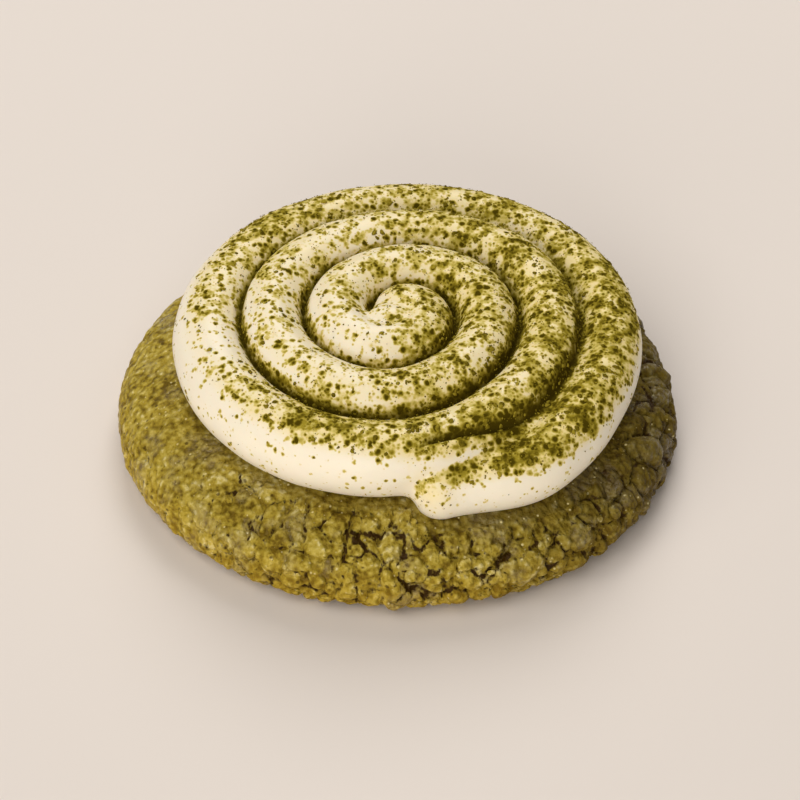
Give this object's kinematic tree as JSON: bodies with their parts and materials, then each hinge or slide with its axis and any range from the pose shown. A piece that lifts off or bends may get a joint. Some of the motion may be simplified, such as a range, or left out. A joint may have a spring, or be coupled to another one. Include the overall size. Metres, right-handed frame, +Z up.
{
  "type": "matcha crumble cookie",
  "caption": "Round soft-baked matcha crumble cookie with a craggy domed top, a thick piped spiral of cream and sifted green tea powder.",
  "frame": {"origin": "middle of the flat underside of the cookie, below the middle of the whole", "axes": "+Z up through the dome and the cream; the rope of cream starts at the front, which faces -Y; +X to the right seen from the front"},
  "size_m": [0.1124, 0.1066, 0.0339],
  "materials": {
    "baked_dough": "matte, craggy baked crumb",
    "piped_cream": "satin, smooth"
  },
  "bodies": {
    "root": {"cookie": "baked_dough", "cream_spiral": "piped_cream"}
  },
  "joints": []
}
